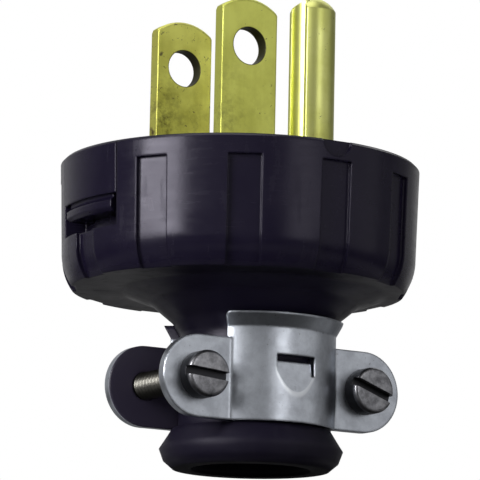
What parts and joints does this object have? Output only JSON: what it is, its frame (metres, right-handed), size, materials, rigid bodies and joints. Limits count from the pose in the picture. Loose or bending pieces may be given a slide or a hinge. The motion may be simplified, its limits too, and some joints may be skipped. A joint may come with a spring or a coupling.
{
  "type": "type b plug",
  "caption": "Round rewirable mains plug with two flat blades, a U-shaped ground pin, a ribbed moulded body and a screwed two-half cord clamp on its neck.",
  "frame": {"origin": "on the round body's axis, level with the flat ring at the cord end", "axes": "+Z from the cord end to the blades, +X from the blades to the ground pin, -Y to the clamp's screw heads"},
  "size_m": [0.0364, 0.0364, 0.0496],
  "materials": {
    "body_rubber": "semi-gloss moulded rubber, near black",
    "cap_plastic": "semi-gloss moulded plastic, near black",
    "block_plastic": "matt moulded insulation",
    "blade_brass": "bare rolled brass, slightly tarnished",
    "clamp_steel": "satin zinc plating",
    "screw_steel": "dull zinc plating",
    "terminal_brass": "bright brass",
    "terminal_nickel": "nickel plating",
    "terminal_green": "green finish that marks the ground terminal"
  },
  "bodies": {
    "root": {"body_shell": "body_rubber", "front_cap": "cap_plastic", "terminal_block": "block_plastic", "line_blade": "blade_brass", "neutral_blade": "blade_brass", "ground_pin": "blade_brass", "front_clamp_half": "clamp_steel", "rear_clamp_half": "clamp_steel", "left_clamp_screw": "screw_steel", "right_clamp_screw": "screw_steel", "line_terminal_screw": "terminal_brass", "neutral_terminal_screw": "terminal_nickel", "ground_terminal_screw": "terminal_green"}
  },
  "joints": []
}
